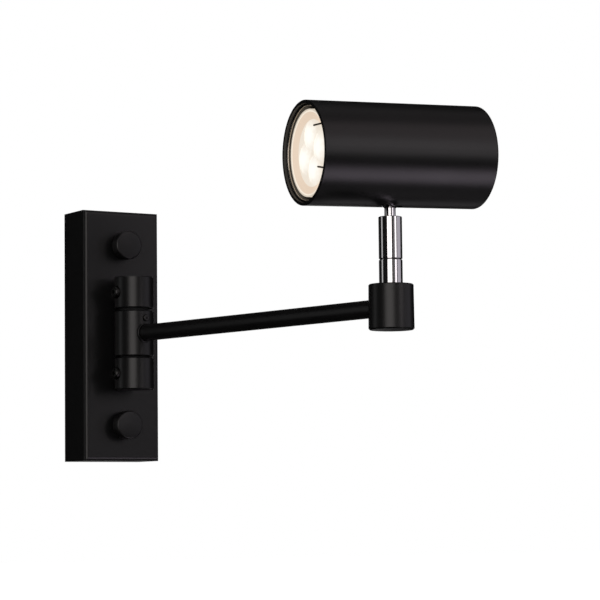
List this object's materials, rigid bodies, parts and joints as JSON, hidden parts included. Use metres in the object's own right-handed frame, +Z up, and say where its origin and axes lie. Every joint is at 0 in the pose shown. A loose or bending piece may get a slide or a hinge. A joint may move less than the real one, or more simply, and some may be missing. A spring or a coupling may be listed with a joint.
{
  "type": "pivoting spotlight wall light",
  "caption": "Wall light with a tall back box, a hinged arm and a bright stem that carries a tubular reflector-lamp head on a swivel and a ball.",
  "frame": {"origin": "centre of the back box on the wall's surface", "axes": "+X to the right along the wall as seen from the room, +Y into the wall, +Z up"},
  "size_m": [0.1246, 0.3276, 0.2002],
  "materials": {
    "black_paint": "black stoved enamel, satin",
    "chrome": "bright chrome plate",
    "zinc_steel": "bright zinc-plated steel",
    "bright_steel": "polished stainless steel",
    "black_steel": "blackened steel",
    "brass": "turned brass",
    "bronze": "sintered bronze",
    "black_rubber": "soft black rubber",
    "black_nylon": "black nylon",
    "white_nylon": "natural nylon",
    "ceramic": "glazed white ceramic",
    "lead_sheath": "white heat-proof sheath",
    "lamp_shell": "pale grey lamp body",
    "lamp_lens": "clear and frosted moulded lens",
    "board": "white light board with yellow chips",
    "nickel": "nickel-plated contact pins"
  },
  "bodies": {
    "wall_body": {"wall_bracket": "zinc_steel", "bracket_studs": "zinc_steel", "cable_grommet": "black_rubber", "earth_screw": "brass", "terminal_block": "white_nylon", "terminal_screws": "zinc_steel", "back_box": "black_paint", "cap_nuts": "black_paint", "lower_knuckle": "black_paint", "upper_knuckle": "black_paint", "pin_screws": "black_steel", "neck_washers": "zinc_steel", "neck_nuts": "zinc_steel", "hinge_pin": "bright_steel", "pin_plugs": "black_nylon", "lower_hinge_washer": "black_nylon", "upper_hinge_washer": "black_nylon", "box_lead": "lead_sheath"},
    "arm": {"middle_knuckle": "black_paint", "hinge_bushes": "bronze", "friction_screw": "black_steel", "arm_tube": "black_paint", "arm_lead": "lead_sheath", "arm_barrel": "black_paint", "barrel_cap": "black_paint", "arm_end_screw": "zinc_steel", "lower_stem": "chrome", "swivel_washer": "black_nylon", "swivel_nipple": "brass", "nipple_nut": "brass"},
    "stem": {"upper_stem": "chrome", "swivel_spring": "bright_steel", "ball_neck": "chrome", "stem_lead": "lead_sheath"},
    "head": {"head_tube": "black_paint", "rear_disc": "black_paint", "tilt_block": "brass", "tilt_clamp": "brass", "clamp_screws": "zinc_steel", "holder_bracket": "zinc_steel", "lampholder": "ceramic", "holder_screws": "zinc_steel", "head_lead": "lead_sheath", "lamp_body": "lamp_shell", "led_board": "board", "lamp_lens": "lamp_lens", "lamp_pins": "nickel", "lamp_clip": "bright_steel"}
  },
  "joints": [
    {"name": "arm_swing", "type": "hinge", "parent": "wall_body", "child": "arm", "pos_m": [0, -0.047, 0], "axis": [0, 0, 1], "range_deg": [-94.1, 75.9]},
    {"name": "stem_turn", "type": "hinge", "parent": "arm", "child": "stem", "pos_m": [0.03914, -0.29138, 0.02], "axis": [0, 0, 1], "range_deg": [-175, 175]},
    {"name": "head_tilt", "type": "hinge", "parent": "stem", "child": "head", "pos_m": [0.03914, -0.29138, 0.0619], "axis": [-0.1184, -0.993, 0], "range_deg": [-33.3, 30.7]}
  ]
}
